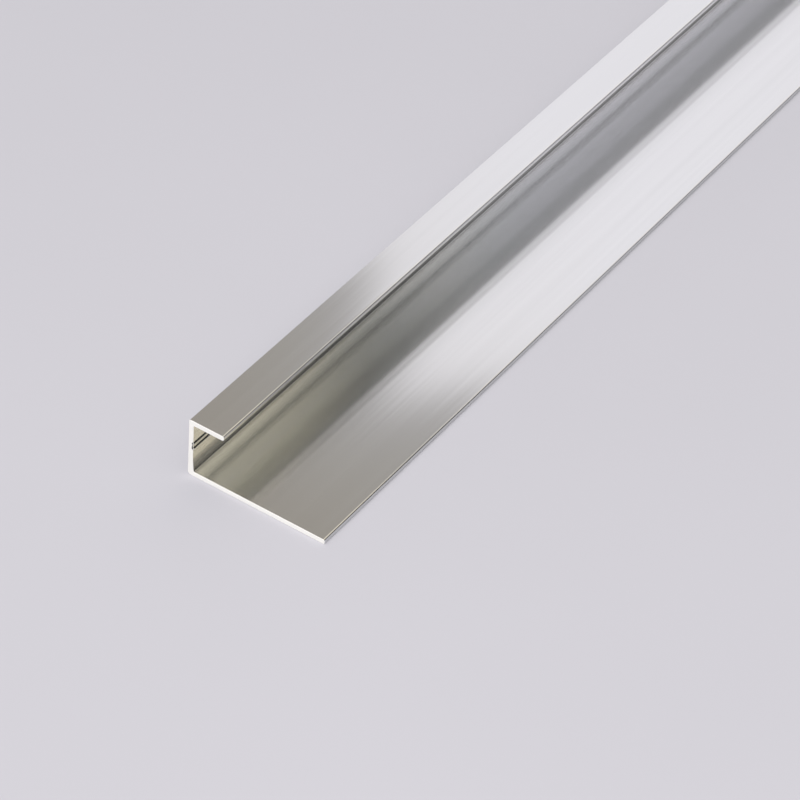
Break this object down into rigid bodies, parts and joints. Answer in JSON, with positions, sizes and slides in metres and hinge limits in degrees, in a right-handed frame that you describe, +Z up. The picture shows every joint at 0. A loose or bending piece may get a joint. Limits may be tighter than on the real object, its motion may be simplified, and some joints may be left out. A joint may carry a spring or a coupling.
{
  "type": "aluminium edge trim profile",
  "caption": "J-shaped aluminium extrusion: a wide base leg, an upright web and a short lip form a channel that caps and holds the edge of a wall panel.",
  "frame": {"origin": "on the floor, at the middle of the base leg's width and of the stock's length", "axes": "+X across the section from the web to the base leg's free edge, +Y along the stock, +Z up from the base leg to the lip"},
  "size_m": [0.028, 1, 0.0121],
  "materials": {
    "aluminium": "bright drawn surface with fine lines along the length, pale sawn ends"
  },
  "bodies": {
    "root": {"j_profile": "aluminium"}
  },
  "joints": []
}
